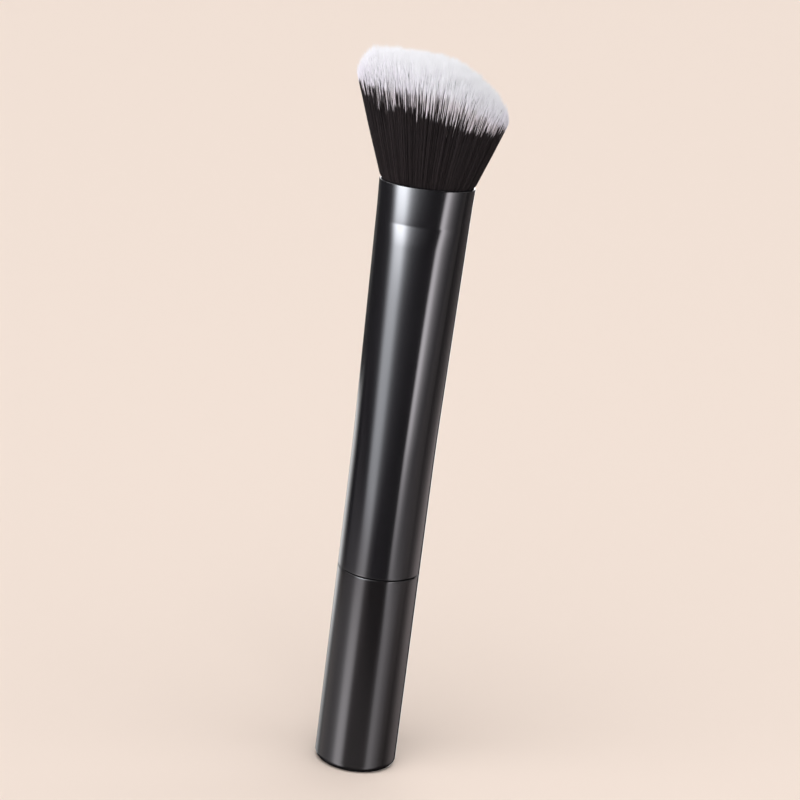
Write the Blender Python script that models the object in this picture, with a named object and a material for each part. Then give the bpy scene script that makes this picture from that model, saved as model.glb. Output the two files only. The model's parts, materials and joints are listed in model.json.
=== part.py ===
"""Angled blush brush, modelled as the pieces it is assembled from.

Metres, with +Z up the axis of the handle. The origin is the centre of the flat
foot that the brush stands on. +X is the low side of the slanted head, and -Y is
the pressed face of the ferrule that is seen from the front.
"""

import math

import bmesh
import bpy

# Handle: one diameter for the long tube and the base section below it
TUBE_DIAMETER = 0.0175
TUBE_LENGTH = 0.0834
TUBE_WALL = 0.0005
TUBE_EDGE_CHAMFER = 0.0001

# Mouth of the tube, pressed from round to oval without changing its girth
MOUTH_WIDTH = 0.01986
PRESS_LENGTH = 0.0558
CREASE_DEPTH = 0.0080
CREASE_RAMP = 0.0045
CREASE_TAIL = 0.0170
CREASE_SPREAD_SHARE = 0.78
FACE_FLAT_SHARE = 0.038

# Base section, moulded as a cup with a rounded foot
BASE_HEIGHT = 0.0441
BASE_WALL = 0.0013
BASE_FLOOR = 0.0018
FOOT_ROUND = 0.0016
LIP_CHAMFER = 0.0001

# Plug that joins the tube to the base, with a shoulder that seats on the base's lip
SHOULDER_HEIGHT = 0.0012
UPPER_SPIGOT = 0.0160
LOWER_SPIGOT = 0.0250
PLUG_WALL = 0.0020
PLUG_ROOF = 0.0020
PLUG_LEAD = 0.0008
CRUSH_RIB_HEIGHT = 0.00035
CRUSH_RIB_EVERY = 6

# Steel slug that weights the base
WEIGHT_CHAMFER = 0.0006

# Moulded core that backs the tube's wall up to the tuft's cup
CORE_WALL = 0.00235
CORE_ROOF = 0.0020

# Cup and cast resin that hold the root of the tuft inside the mouth
CUP_HEIGHT = 0.0112
CUP_WALL = 0.0008
CUP_FLOOR = 0.0012

# Tuft: root slice, depth in the mouth, splay of its sides and its slanted crown
TUFT_DEPTH = 0.0110
ROOT_SLICE = 0.0012
HEAD_HEIGHT = 0.0270
SIDE_SPLAY_SHARE = 0.375
FACE_SPLAY_SHARE = 0.170
SLANT_DROP = 0.0115
SLANT_START_SHARE = 0.15
SLANT_BLEND_SHARE = 0.20
EDGE_DROP = 0.0036
EDGE_DROP_BIAS = 0.0017
EDGE_START_SHARE = 0.70
CROWN_DROP = 0.0014
STRAND_RINGS = 8
STRAND_ROOT_SHARE = 0.72
STRAND_BODY_SHARE = 0.84
STRAND_SHOULDER_SHARE = 0.80

# Clearance between a piece and what it seats in or on
SEAT_GAP = 0.0003

# Fineness of the turned and pressed forms
ROUND_SIDES = 48
TAPER_STEPS = 9
RAMP_STEPS = 4
BAND_STEPS = 3
ARC_STEPS = 5
GIRTH_STEPS = 40

TUBE_RADIUS = TUBE_DIAMETER / 2
MOUTH_SPREAD = MOUTH_WIDTH / 2 - TUBE_RADIUS
TUBE_FOOT = BASE_HEIGHT + SEAT_GAP
RIM = TUBE_FOOT + TUBE_LENGTH
CREASE = RIM - CREASE_DEPTH
PRESS_START = RIM - PRESS_LENGTH
RAMP_START = CREASE - CREASE_RAMP
BASE_BORE_RADIUS = TUBE_RADIUS - BASE_WALL
ROOT_FOOT = RIM - TUFT_DEPTH
CUP_RIM = ROOT_FOOT - SEAT_GAP
CUP_FOOT = CUP_RIM - CUP_HEIGHT
PLUG_FOOT = BASE_HEIGHT - LOWER_SPIGOT
PLUG_TOP = TUBE_FOOT + UPPER_SPIGOT


def clear_scene():
    """Start from an empty scene."""
    for obj in list(bpy.data.objects):
        bpy.data.objects.remove(obj, do_unlink=True)


def finish(name, color, roughness, metallic):
    """Material of one sub-part."""
    material = bpy.data.materials.new(name)
    material.use_nodes = True
    shader = material.node_tree.nodes["Principled BSDF"]
    shader.inputs["Base Color"].default_value = (*color, 1)
    shader.inputs["Roughness"].default_value = roughness
    shader.inputs["Metallic"].default_value = metallic
    material.diffuse_color = (*color, 1)
    return material


def black_lacquer():
    return finish("black_lacquer", (0.012, 0.012, 0.014), 0.28, 0.0)


def gloss_moulding():
    return finish("gloss_black_moulding", (0.010, 0.010, 0.011), 0.16, 0.0)


def black_moulding():
    return finish("black_moulding", (0.030, 0.030, 0.032), 0.50, 0.0)


def natural_moulding():
    return finish("natural_moulding", (0.62, 0.60, 0.55), 0.55, 0.0)


def turned_steel():
    return finish("turned_steel", (0.55, 0.55, 0.56), 0.35, 1.0)


def cast_resin():
    return finish("cast_resin", (0.46, 0.34, 0.17), 0.30, 0.0)


def tuft_fibre():
    return finish("tuft_fibre", (0.020, 0.018, 0.019), 0.55, 0.0)


def arc(center_x, center_z, radius, start, end):
    """Points along a round from one angle to another, in degrees, as pairs of radius and height."""
    points = []
    for step in range(ARC_STEPS + 1):
        angle = math.radians(start + (end - start) * step / ARC_STEPS)
        points.append((center_x + radius * math.cos(angle), center_z + radius * math.sin(angle)))
    return points


def round_ring(radius, height, rib=0):
    """Ring of a turned form, with a ridge of the given height on every sixth corner."""
    ring = []
    for side in range(ROUND_SIDES):
        angle = math.tau * side / ROUND_SIDES
        reach = radius + (rib if side % CRUSH_RIB_EVERY == 0 else 0)
        ring.append((reach * math.cos(angle), reach * math.sin(angle), height))
    return ring


def oval_girth(half_width, half_depth):
    """Perimeter of an ellipse by Ramanujan's formula."""
    total = half_width + half_depth
    product = (3 * half_width + half_depth) * (half_width + 3 * half_depth)
    return math.pi * (3 * total - math.sqrt(product))


def pressed_half_depth(half_width):
    """Half depth that keeps the round tube's girth at a given half width, by halving an interval."""
    low, high = 0, TUBE_RADIUS
    girth = math.tau * TUBE_RADIUS
    for _ in range(GIRTH_STEPS):
        middle = (low + high) / 2
        if oval_girth(half_width, middle) < girth:
            low = middle
        else:
            high = middle
    return high


def spread_share(height):
    """Share of the mouth's spread that the tube has at a height: none below the press, all at the rim."""
    if height <= PRESS_START:
        return 0
    if height <= CREASE:
        return CREASE_SPREAD_SHARE * (height - PRESS_START) / (CREASE - PRESS_START)
    return CREASE_SPREAD_SHARE + (1 - CREASE_SPREAD_SHARE) * ((height - CREASE) / CREASE_DEPTH) ** 2


def flat_share(height):
    """How flat the pressed faces are: full above the crease, fading down a steep and a gentle ramp."""
    below = max(0, CREASE - height)
    steep = max(0, 1 - below / CREASE_RAMP) ** 2
    gentle = max(0, 1 - below / CREASE_TAIL) ** 2
    return (steep + gentle) / 2


def tube_point(angle, height, inset):
    """Point of the tube's outer surface, moved in by an inset."""
    half_width = TUBE_RADIUS + MOUTH_SPREAD * spread_share(height)
    half_depth = pressed_half_depth(half_width)
    flat = 1 - FACE_FLAT_SHARE * flat_share(height) * math.sin(angle) ** 2
    return (
        (half_width - inset) * math.cos(angle),
        (half_depth - inset) * math.sin(angle) * flat,
    )


def tube_ring(height, inset):
    """Ring that follows the tube's wall at a height."""
    ring = []
    for side in range(ROUND_SIDES):
        x, y = tube_point(math.tau * side / ROUND_SIDES, height, inset)
        ring.append((x, y, height))
    return ring


def tube_levels(low, high):
    """Heights between two ends at which a form that follows the tube has a ring."""
    levels = [low, high]
    for step in range(TAPER_STEPS):
        levels.append(PRESS_START + (RAMP_START - PRESS_START) * step / TAPER_STEPS)
    for step in range(RAMP_STEPS):
        levels.append(RAMP_START + CREASE_RAMP * step / RAMP_STEPS)
    for step in range(BAND_STEPS):
        levels.append(CREASE + CREASE_DEPTH * step / BAND_STEPS)
    kept = sorted(level for level in set(levels) if low <= level <= high)
    spaced = [kept[0]]
    for level in kept[1:-1]:
        if level - spaced[-1] > SEAT_GAP and high - level > SEAT_GAP:
            spaced.append(level)
    return spaced + [high]


def add_object(name, mesh_builder, material):
    """Wrap a finished bmesh as a named object that is shaded smooth up to its sharp edges."""
    bmesh.ops.recalc_face_normals(mesh_builder, faces=mesh_builder.faces)
    mesh = bpy.data.meshes.new(name)
    mesh_builder.to_mesh(mesh)
    mesh_builder.free()
    mesh.materials.append(material)
    mesh.shade_smooth()
    mesh.set_sharp_from_angle(angle=math.radians(35))
    obj = bpy.data.objects.new(name, mesh)
    bpy.context.scene.collection.objects.link(obj)
    return obj


def skin(rings, closed):
    """Quads between successive rings: joined end to end when closed, else capped at both ends."""
    builder = bmesh.new()
    loops = [[builder.verts.new(point) for point in ring] for ring in rings]
    pairs = list(zip(loops, loops[1:]))
    if closed:
        pairs.append((loops[-1], loops[0]))
    for lower, upper in pairs:
        for side in range(len(lower)):
            after = (side + 1) % len(lower)
            builder.faces.new((lower[side], lower[after], upper[after], upper[side]))
    if not closed:
        builder.faces.new(reversed(loops[0]))
        builder.faces.new(loops[-1])
    return builder


def make_base_shell():
    """Moulded cup: rounded foot, straight side, chamfered lip and a bore for the plug and the weight."""
    radius, bore = TUBE_RADIUS, BASE_BORE_RADIUS
    profile = arc(radius - FOOT_ROUND, FOOT_ROUND, FOOT_ROUND, -90, 0)
    profile += [
        (radius, BASE_HEIGHT - LIP_CHAMFER),
        (radius - LIP_CHAMFER, BASE_HEIGHT),
        (bore + LIP_CHAMFER, BASE_HEIGHT),
        (bore, BASE_HEIGHT - LIP_CHAMFER),
        (bore, BASE_FLOOR),
    ]
    rings = [round_ring(*point) for point in profile]
    return add_object("base_shell", skin(rings, False), gloss_moulding())


def make_base_weight():
    """Steel slug between the cup's floor and the plug's lower spigot."""
    radius = BASE_BORE_RADIUS - SEAT_GAP
    foot = BASE_FLOOR + SEAT_GAP
    top = PLUG_FOOT - SEAT_GAP
    profile = [
        (radius - WEIGHT_CHAMFER, foot),
        (radius, foot + WEIGHT_CHAMFER),
        (radius, top - WEIGHT_CHAMFER),
        (radius - WEIGHT_CHAMFER, top),
    ]
    rings = [round_ring(*point) for point in profile]
    return add_object("base_weight", skin(rings, False), turned_steel())


def spigot_rings(radius, low, high):
    """Side of a spigot with crush ribs along it, between two heights."""
    root = radius - CRUSH_RIB_HEIGHT
    return [round_ring(root, low, CRUSH_RIB_HEIGHT), round_ring(root, high, CRUSH_RIB_HEIGHT)]


def make_joint_plug():
    """Plug with a ribbed spigot in the base, one in the tube, and a shoulder over the base's lip."""
    lower_radius = BASE_BORE_RADIUS - SEAT_GAP
    upper_radius = TUBE_RADIUS - TUBE_WALL - SEAT_GAP
    lower_root = lower_radius - CRUSH_RIB_HEIGHT
    upper_root = upper_radius - CRUSH_RIB_HEIGHT
    shoulder_top = TUBE_FOOT + SHOULDER_HEIGHT
    bore = lower_root - PLUG_WALL
    rings = [round_ring(bore, PLUG_TOP - PLUG_ROOF), round_ring(bore, PLUG_FOOT)]
    rings.append(round_ring(lower_root - PLUG_LEAD, PLUG_FOOT))
    rings += spigot_rings(lower_radius, PLUG_FOOT + PLUG_LEAD, BASE_HEIGHT - PLUG_LEAD)
    rings.append(round_ring(lower_root, BASE_HEIGHT - PLUG_LEAD / 2))
    rings.append(round_ring(lower_root, TUBE_FOOT))
    rings.append(round_ring(upper_radius, TUBE_FOOT))
    rings.append(round_ring(upper_radius, shoulder_top))
    rings.append(round_ring(upper_root, shoulder_top))
    rings += spigot_rings(upper_radius, shoulder_top + PLUG_LEAD, PLUG_TOP - PLUG_LEAD)
    rings.append(round_ring(upper_root - PLUG_LEAD, PLUG_TOP))
    return add_object("joint_plug", skin(rings, False), black_moulding())


def make_ferrule_tube():
    """Thin tube, round at the seam and pressed to an oval mouth with a crease below it."""
    chamfer = TUBE_EDGE_CHAMFER
    levels = tube_levels(TUBE_FOOT + chamfer, RIM - chamfer)
    outer = [tube_ring(TUBE_FOOT, chamfer)]
    outer += [tube_ring(level, 0) for level in levels]
    outer.append(tube_ring(RIM, chamfer))
    inner = [tube_ring(level, TUBE_WALL) for level in tube_levels(TUBE_FOOT, RIM)]
    return add_object("ferrule_tube", skin(outer + inner[::-1], True), black_lacquer())


def make_handle_core():
    """Core that follows the tube's inside from the plug up to the tuft's cup, cored out from below."""
    foot = PLUG_TOP + SEAT_GAP
    top = CUP_FOOT - SEAT_GAP
    inset = TUBE_WALL + SEAT_GAP
    bore = TUBE_RADIUS - inset - CORE_WALL
    rings = [round_ring(bore, top - CORE_ROOF), round_ring(bore, foot)]
    rings += [tube_ring(level, inset) for level in tube_levels(foot, top)]
    return add_object("handle_core", skin(rings, False), natural_moulding())


def make_tuft_cup():
    """Cup that stops the resin and sets how deep the tuft stands in the mouth."""
    outer_inset = TUBE_WALL + SEAT_GAP
    inner_inset = outer_inset + CUP_WALL
    rings = [tube_ring(level, outer_inset) for level in tube_levels(CUP_FOOT, CUP_RIM)]
    inner = [tube_ring(level, inner_inset) for level in tube_levels(CUP_FOOT + CUP_FLOOR, CUP_RIM)]
    return add_object("tuft_cup", skin(rings + inner[::-1], False), black_moulding())


def make_resin_plug():
    """Resin cast in the cup under the root of the tuft."""
    inset = TUBE_WALL + SEAT_GAP + CUP_WALL + SEAT_GAP
    foot = CUP_FOOT + CUP_FLOOR + SEAT_GAP
    rings = [tube_ring(level, inset) for level in tube_levels(foot, CUP_RIM)]
    return add_object("resin_plug", skin(rings, False), cast_resin())


def lattice_spots():
    """Places of a triangular lattice of rings on the unit disc, by ring and step, as angle and reach."""
    spots = {(0, 0): (0, 0)}
    for ring in range(1, STRAND_RINGS + 1):
        for step in range(6 * ring):
            spots[ring, step] = (math.tau * step / (6 * ring), ring / STRAND_RINGS)
    return spots


def lattice_cells():
    """Triangles between the rings of the lattice: six more in each ring than twice the last ring's."""
    cells = []
    for ring in range(1, STRAND_RINGS + 1):
        inner_count = max(1, 6 * (ring - 1))
        for sector in range(6):
            for step in range(ring):
                outer = sector * ring + step
                inner = sector * (ring - 1) + step
                spot = (ring - 1, inner % inner_count)
                cells.append(((ring, outer), (ring, (outer + 1) % (6 * ring)), spot))
                if step < ring - 1:
                    after = (ring - 1, (inner + 1) % inner_count)
                    cells.append(((ring, (outer + 1) % (6 * ring)), after, spot))
    return cells


def tuft_place(spot, height):
    """Place of a lattice spot at a height: within the tube below the rim, splayed above it."""
    angle, reach = spot
    inset = TUBE_WALL + SEAT_GAP
    x, y = tube_point(angle, min(height, RIM), inset)
    rise = max(0, height - RIM)
    x += SIDE_SPLAY_SHARE * rise * math.cos(angle)
    y += FACE_SPLAY_SHARE * rise * math.sin(angle)
    return reach * x, reach * y


def crown_height(width_share, depth_share):
    """Height of the slanted, rounded crown above the rim, over a place given as shares of the tuft."""
    past = width_share - SLANT_START_SHARE
    slant = SLANT_DROP * (past + math.hypot(past, SLANT_BLEND_SHARE)) / 2
    reach = math.hypot(width_share, depth_share)
    rounding = max(0, (reach - EDGE_START_SHARE) / (1 - EDGE_START_SHARE)) ** 2
    edge = EDGE_DROP - EDGE_DROP_BIAS * width_share
    return HEAD_HEIGHT - slant - edge * rounding - CROWN_DROP * depth_share ** 2


def strand_ring(builder, spots, cell, height, share):
    """Three corners of a strand at a height, drawn in from its cell's corners by a share."""
    places = [tuft_place(spots[key], height) for key in cell]
    middle_x = sum(place[0] for place in places) / len(places)
    middle_y = sum(place[1] for place in places) / len(places)
    corners = []
    for x, y in places:
        inner_x = middle_x + (x - middle_x) * share
        inner_y = middle_y + (y - middle_y) * share
        corners.append(builder.verts.new((inner_x, inner_y, height)))
    return corners


def cell_crown(spots, cell):
    """Height of the crown above the middle of a cell."""
    width = sum(spots[key][1] * math.cos(spots[key][0]) for key in cell) / len(cell)
    depth = sum(spots[key][1] * math.sin(spots[key][0]) for key in cell) / len(cell)
    return crown_height(width, depth)


def add_strand(builder, spots, cell, base_corners):
    """One three-sided strand, from the web round its root to its pointed tip."""
    crown = cell_crown(spots, cell)
    rings = [
        base_corners,
        strand_ring(builder, spots, cell, ROOT_FOOT + ROOT_SLICE, STRAND_ROOT_SHARE),
        strand_ring(builder, spots, cell, RIM, STRAND_ROOT_SHARE),
        strand_ring(builder, spots, cell, RIM + crown * STRAND_SHOULDER_SHARE, STRAND_BODY_SHARE),
    ]
    for lower, upper in zip(rings, rings[1:]):
        for side in range(3):
            after = (side + 1) % 3
            builder.faces.new((lower[side], lower[after], upper[after], upper[side]))
    places = [tuft_place(spots[key], RIM + crown) for key in cell]
    tip = builder.verts.new((
        sum(place[0] for place in places) / len(places),
        sum(place[1] for place in places) / len(places),
        RIM + crown,
    ))
    for side in range(3):
        builder.faces.new((rings[-1][side], rings[-1][(side + 1) % 3], tip))


def make_bristle_tuft():
    """Strands on a slice of their glued root, splayed from the oval mouth to the slanted crown."""
    spots = lattice_spots()
    builder = bmesh.new()
    top = {}
    for key, spot in spots.items():
        top[key] = builder.verts.new((*tuft_place(spot, ROOT_FOOT + ROOT_SLICE), ROOT_FOOT + ROOT_SLICE))
    for cell in lattice_cells():
        add_strand(builder, spots, cell, [top[key] for key in cell])
    rim_keys = [(STRAND_RINGS, step) for step in range(6 * STRAND_RINGS)]
    foot = [builder.verts.new((*tuft_place(spots[key], ROOT_FOOT), ROOT_FOOT)) for key in rim_keys]
    for side, key in enumerate(rim_keys):
        after = (side + 1) % len(rim_keys)
        builder.faces.new((foot[side], foot[after], top[rim_keys[after]], top[key]))
    builder.faces.new(reversed(foot))
    return add_object("bristle_tuft", builder, tuft_fibre())


def main():
    clear_scene()
    make_base_shell()
    make_base_weight()
    make_joint_plug()
    make_ferrule_tube()
    make_handle_core()
    make_tuft_cup()
    make_resin_plug()
    make_bristle_tuft()


main()
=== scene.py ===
"""Looks of the angled blush brush: lacquered ferrule tube, glossy base and tuft of filaments.

Lengths are metres. +Z runs up the handle from the flat foot, +X is the low side
of the slanted head and -Y is the pressed face that the camera sees.
"""

import json
import math

import bpy
import numpy as np
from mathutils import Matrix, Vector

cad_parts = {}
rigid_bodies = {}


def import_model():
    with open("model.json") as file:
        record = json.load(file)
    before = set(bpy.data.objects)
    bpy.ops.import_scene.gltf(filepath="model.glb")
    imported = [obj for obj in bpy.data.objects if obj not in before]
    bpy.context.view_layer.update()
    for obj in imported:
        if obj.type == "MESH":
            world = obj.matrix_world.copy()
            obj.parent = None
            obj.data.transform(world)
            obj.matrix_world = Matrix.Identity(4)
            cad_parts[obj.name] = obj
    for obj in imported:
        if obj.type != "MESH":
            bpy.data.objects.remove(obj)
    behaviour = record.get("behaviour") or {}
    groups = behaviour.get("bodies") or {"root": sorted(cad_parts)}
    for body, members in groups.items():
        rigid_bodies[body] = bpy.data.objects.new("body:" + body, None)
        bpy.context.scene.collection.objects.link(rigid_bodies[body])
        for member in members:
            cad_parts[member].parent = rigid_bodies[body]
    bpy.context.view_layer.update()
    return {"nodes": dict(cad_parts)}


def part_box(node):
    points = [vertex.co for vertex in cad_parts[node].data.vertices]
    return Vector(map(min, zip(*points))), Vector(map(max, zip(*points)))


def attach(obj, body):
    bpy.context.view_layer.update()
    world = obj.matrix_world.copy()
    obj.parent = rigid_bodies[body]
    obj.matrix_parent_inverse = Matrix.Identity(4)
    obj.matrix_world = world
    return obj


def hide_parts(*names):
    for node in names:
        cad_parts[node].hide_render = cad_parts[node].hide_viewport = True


bl_info = {
    "name": "Angled Blush Brush",
    "version": (1, 0, 0),
    "blender": (4, 5, 0),
    "location": "View3D > Sidebar > Brush",
    "description": "Builds the brush's lacquered tube, moulded base, tuft of filaments and stage",
    "category": "Object",
}

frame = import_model()

BASE_LOW, BASE_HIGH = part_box("base_shell")
TUBE_LOW, TUBE_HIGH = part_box("ferrule_tube")
TUFT_LOW, TUFT_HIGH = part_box("bristle_tuft")

FOOT_Z = BASE_LOW.z
BASE_TOP = BASE_HIGH.z
TUBE_FOOT = TUBE_LOW.z
RIM = TUBE_HIGH.z
TUBE_RADIUS = BASE_HIGH.x
MOUTH_HALF_WIDTH = TUBE_HIGH.x
TUFT_FOOT = TUFT_LOW.z
HEAD_HEIGHT = TUFT_HIGH.z - RIM

GOLDEN_ANGLE = math.pi * (3 - math.sqrt(5))
SHARP_ANGLE = math.radians(40)
GIRTH_HALVINGS = 40
BAND_POWER = 1.45
EVEN = (1, 1, 1)
DRIFT_WIDTH = 9
MIX_FACTOR, MIX_FIRST, MIX_SECOND, MIX_RESULT = 0, 6, 7, 2

# The strand map holds each filament's tint across and its distance from the black's edge up.
STRAND_MAP = "OFBake"
MAP_MIDDLE, MAP_LENGTH, MAP_EDGE = 0.6, 0.040, 0.001
STRAND_SIDES = 3
SEED = 7

SENSOR_WIDTH = 36.0
STAGE_RADIUS = 5
LIGHT_DISTANCE = 0.6
FACE_MIDDLE = 0.5
GLOW_COLOR = (1.0, 0.985, 1.0)


class HandleSettings(bpy.types.PropertyGroup):
    """Sizes and finish of the tube and the base."""

    wall: bpy.props.FloatProperty(
        name="Tube wall", description="Thickness of the metal", default=0.0005, unit="LENGTH")
    lip: bpy.props.FloatProperty(
        name="Lip", description="Round of the rolled lip at the mouth", default=0.00022,
        unit="LENGTH")
    edge: bpy.props.FloatProperty(
        name="Tube edge", description="Round of the tube's edge at the seam", default=0.00010,
        unit="LENGTH")
    base_edge: bpy.props.FloatProperty(
        name="Base edge", description="Round of the base's edge at the seam", default=0.00022,
        unit="LENGTH")
    seam_reach: bpy.props.FloatProperty(
        name="Seam reach", description="How far tube and base each reach into the seam's clearance",
        default=0.00006, unit="LENGTH")
    support: bpy.props.FloatProperty(
        name="Support", description="Distance from a round to the ring that keeps it crisp",
        default=0.0003, unit="LENGTH")
    press_length: bpy.props.FloatProperty(
        name="Press length", description="Length over which the tube turns oval", default=0.0558,
        unit="LENGTH")
    press_blend: bpy.props.FloatProperty(
        name="Press blend", description="Soft start of the press", default=0.0050, unit="LENGTH")
    crease_depth: bpy.props.FloatProperty(
        name="Crease depth", description="Crease below the rim", default=0.0080, unit="LENGTH")
    crease_ramp: bpy.props.FloatProperty(
        name="Crease ramp", description="Length of the steep ramp below the crease", default=0.0045,
        unit="LENGTH")
    crease_tail: bpy.props.FloatProperty(
        name="Crease tail", description="Length of the gentle ramp below the crease",
        default=0.0170, unit="LENGTH")
    crease_spread: bpy.props.FloatProperty(
        name="Spread at crease", description="Share of the mouth's spread at the crease",
        default=0.78, subtype="FACTOR")
    face_flat: bpy.props.FloatProperty(
        name="Flat faces", description="How far the band's faces are pressed in", default=0.038,
        subtype="FACTOR")
    sides: bpy.props.IntProperty(
        name="Sides", description="Corners round the tube and the base", default=160)
    foot_round: bpy.props.FloatProperty(
        name="Foot round", description="Round of the foot's edge", default=0.0016, unit="LENGTH")
    base_wall: bpy.props.FloatProperty(
        name="Base wall", description="Wall of the moulded base", default=0.0013, unit="LENGTH")
    base_floor: bpy.props.FloatProperty(
        name="Base floor", description="Floor of the moulded base", default=0.0018, unit="LENGTH")
    lacquer_color: bpy.props.FloatVectorProperty(
        name="Lacquer", description="Black of the lacquer", default=(0.0062, 0.0059, 0.0066),
        subtype="COLOR", size=3)
    base_color: bpy.props.FloatVectorProperty(
        name="Base", description="Black of the moulded base", default=(0.0062, 0.0056, 0.0058),
        subtype="COLOR", size=3)


class TuftSettings(bpy.types.PropertyGroup):
    """Sizes and colours of the tuft."""

    filaments: bpy.props.IntProperty(
        name="Filaments", description="Number of filaments", default=21000)
    bundles: bpy.props.IntProperty(
        name="Bundles", description="Meshes that share the filaments", default=4)
    diameter: bpy.props.FloatProperty(
        name="Diameter", description="Diameter of a filament", default=0.000115, unit="LENGTH")
    tip_diameter: bpy.props.FloatProperty(
        name="Tip diameter", description="Diameter just below the tip", default=0.000085,
        unit="LENGTH")
    taper_length: bpy.props.FloatProperty(
        name="Taper", description="Length of the tapered tip", default=0.0060, unit="LENGTH")
    overhang: bpy.props.FloatProperty(
        name="Overhang", description="How far the tuft bulges out over the lip", default=0.00045,
        unit="LENGTH")
    side_splay: bpy.props.FloatProperty(
        name="Side splay", description="Slope of the head's sides", default=0.345)
    face_splay: bpy.props.FloatProperty(
        name="Face splay", description="Slope of the head's front and back", default=0.140)
    slant_drop: bpy.props.FloatProperty(
        name="Slant", description="Fall of the slanted crown", default=0.0115, unit="LENGTH")
    slant_start: bpy.props.FloatProperty(
        name="Slant start", description="Where the slant begins across the head", default=0.15)
    slant_blend: bpy.props.FloatProperty(
        name="Slant blend", description="Softness of the slant's start", default=0.20)
    edge_drop: bpy.props.FloatProperty(
        name="Edge drop", description="Fall of the crown at its edge", default=0.0036,
        unit="LENGTH")
    edge_bias: bpy.props.FloatProperty(
        name="Edge bias", description="More fall at the high side, less at the low", default=0.0017,
        unit="LENGTH")
    edge_start: bpy.props.FloatProperty(
        name="Edge start", description="Reach at which the edge begins to fall", default=0.70,
        subtype="FACTOR")
    crown_drop: bpy.props.FloatProperty(
        name="Crown", description="Fall of the crown to front and back", default=0.0014,
        unit="LENGTH")
    dye_height: bpy.props.FloatProperty(
        name="Dye height", description="Height of the black above the rim", default=0.0163,
        unit="LENGTH")
    dye_slope: bpy.props.FloatProperty(
        name="Dye slope", description="Fall of the black across the head", default=0.226)
    dye_jag: bpy.props.FloatProperty(
        name="Dye jag", description="Unevenness of the black's edge", default=0.0024, unit="LENGTH")
    white_tip: bpy.props.FloatProperty(
        name="White tip", description="Length that stays white at a tip, less on the low side",
        default=0.0020, unit="LENGTH")
    black: bpy.props.FloatVectorProperty(
        name="Black", description="Dyed filament", default=(0.0280, 0.0228, 0.0252),
        subtype="COLOR", size=3)
    white: bpy.props.FloatVectorProperty(
        name="White", description="Undyed tip", default=(0.920, 0.916, 0.945),
        subtype="COLOR", size=3)


class StageSettings(bpy.types.PropertyGroup):
    """Camera, floor and lights."""

    focal_length: bpy.props.FloatProperty(
        name="Focal length", description="Lens for a 36 mm sensor", default=117.0, unit="CAMERA")
    distance: bpy.props.FloatProperty(
        name="Distance", description="Camera to the aim", default=0.5430, unit="LENGTH")
    elevation: bpy.props.FloatProperty(
        name="Elevation", description="Camera above the horizon", default=math.radians(15.8),
        subtype="ANGLE")
    roll: bpy.props.FloatProperty(
        name="Roll", description="Lean of the handle in the picture", default=math.radians(7.245),
        subtype="ANGLE")
    aim_height: bpy.props.FloatProperty(
        name="Aim", description="Height that the camera looks at", default=0.08135, unit="LENGTH")
    floor_color: bpy.props.FloatVectorProperty(
        name="Floor", description="Colour of floor and backdrop", default=(0.887, 0.755, 0.668),
        subtype="COLOR", size=3)
    world_level: bpy.props.FloatProperty(
        name="World", description="Even light from all round", default=0.10)
    backdrop_level: bpy.props.FloatProperty(
        name="Backdrop", description="Level of the backdrop beyond the floor", default=0.98)


def smooth_ramp(value, blend):
    """Zero below zero and the value itself above, with a soft knee of the given width."""
    return (value + math.sqrt(value * value + blend * blend)) / 2


def oval_girth(half_width, half_depth):
    """Perimeter of an ellipse by Ramanujan's formula."""
    product = (3 * half_width + half_depth) * (half_width + 3 * half_depth)
    return math.pi * (3 * (half_width + half_depth) - math.sqrt(product))


def pressed_half_depth(half_width):
    """Half depth that keeps the tube's girth at a half width, by halving an interval."""
    low, high = 0, TUBE_RADIUS
    for _ in range(GIRTH_HALVINGS):
        middle = (low + high) / 2
        if oval_girth(half_width, middle) < math.tau * TUBE_RADIUS:
            low = middle
        else:
            high = middle
    return high


def spread_share(height):
    """Share of the mouth's spread that the tube has at a height."""
    handle = bpy.context.scene.brush_handle
    run = handle.press_length - handle.crease_depth
    past = height - (RIM - handle.press_length)
    below = handle.crease_spread * smooth_ramp(min(past, run), handle.press_blend) / run
    above = (1 - handle.crease_spread) * (max(0, past - run) / handle.crease_depth) ** BAND_POWER
    return min(1, below + above)


def flat_share(height):
    """How flat the pressed faces are: full in the band, fading down two ramps below the crease."""
    handle = bpy.context.scene.brush_handle
    below = max(0, RIM - handle.crease_depth - height)
    steep = max(0, 1 - below / handle.crease_ramp) ** 2
    gentle = max(0, 1 - below / handle.crease_tail) ** 2
    return (steep + gentle) / 2


def tube_section(height):
    """Half width, half depth and flatness of the tube at a height."""
    handle = bpy.context.scene.brush_handle
    half_width = TUBE_RADIUS + (MOUTH_HALF_WIDTH - TUBE_RADIUS) * spread_share(height)
    return half_width, pressed_half_depth(half_width), handle.face_flat * flat_share(height)


def tube_ring(height, inset, sides):
    """Ring of points that follows the tube's wall, moved in by an inset."""
    half_width, half_depth, flat = tube_section(height)
    angle = np.arange(sides) * math.tau / sides
    x = (half_width - inset) * np.cos(angle)
    y = (half_depth - inset) * np.sin(angle) * (1 - flat * np.sin(angle) ** 2)
    return np.column_stack([x, y, np.full(sides, height)])


def round_ring(radius, height, sides):
    """Ring of points of a turned form."""
    angle = np.arange(sides) * math.tau / sides
    return np.column_stack([radius * np.cos(angle), radius * np.sin(angle), np.full(sides, height)])


def arc_points(center_r, center_z, radius, start, end, steps):
    """Points of a round in the half plane of radius and height, angles in degrees."""
    angles = np.radians(np.linspace(start, end, steps + 1))
    return [(center_r + radius * math.cos(a), center_z + radius * math.sin(a)) for a in angles]


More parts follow.
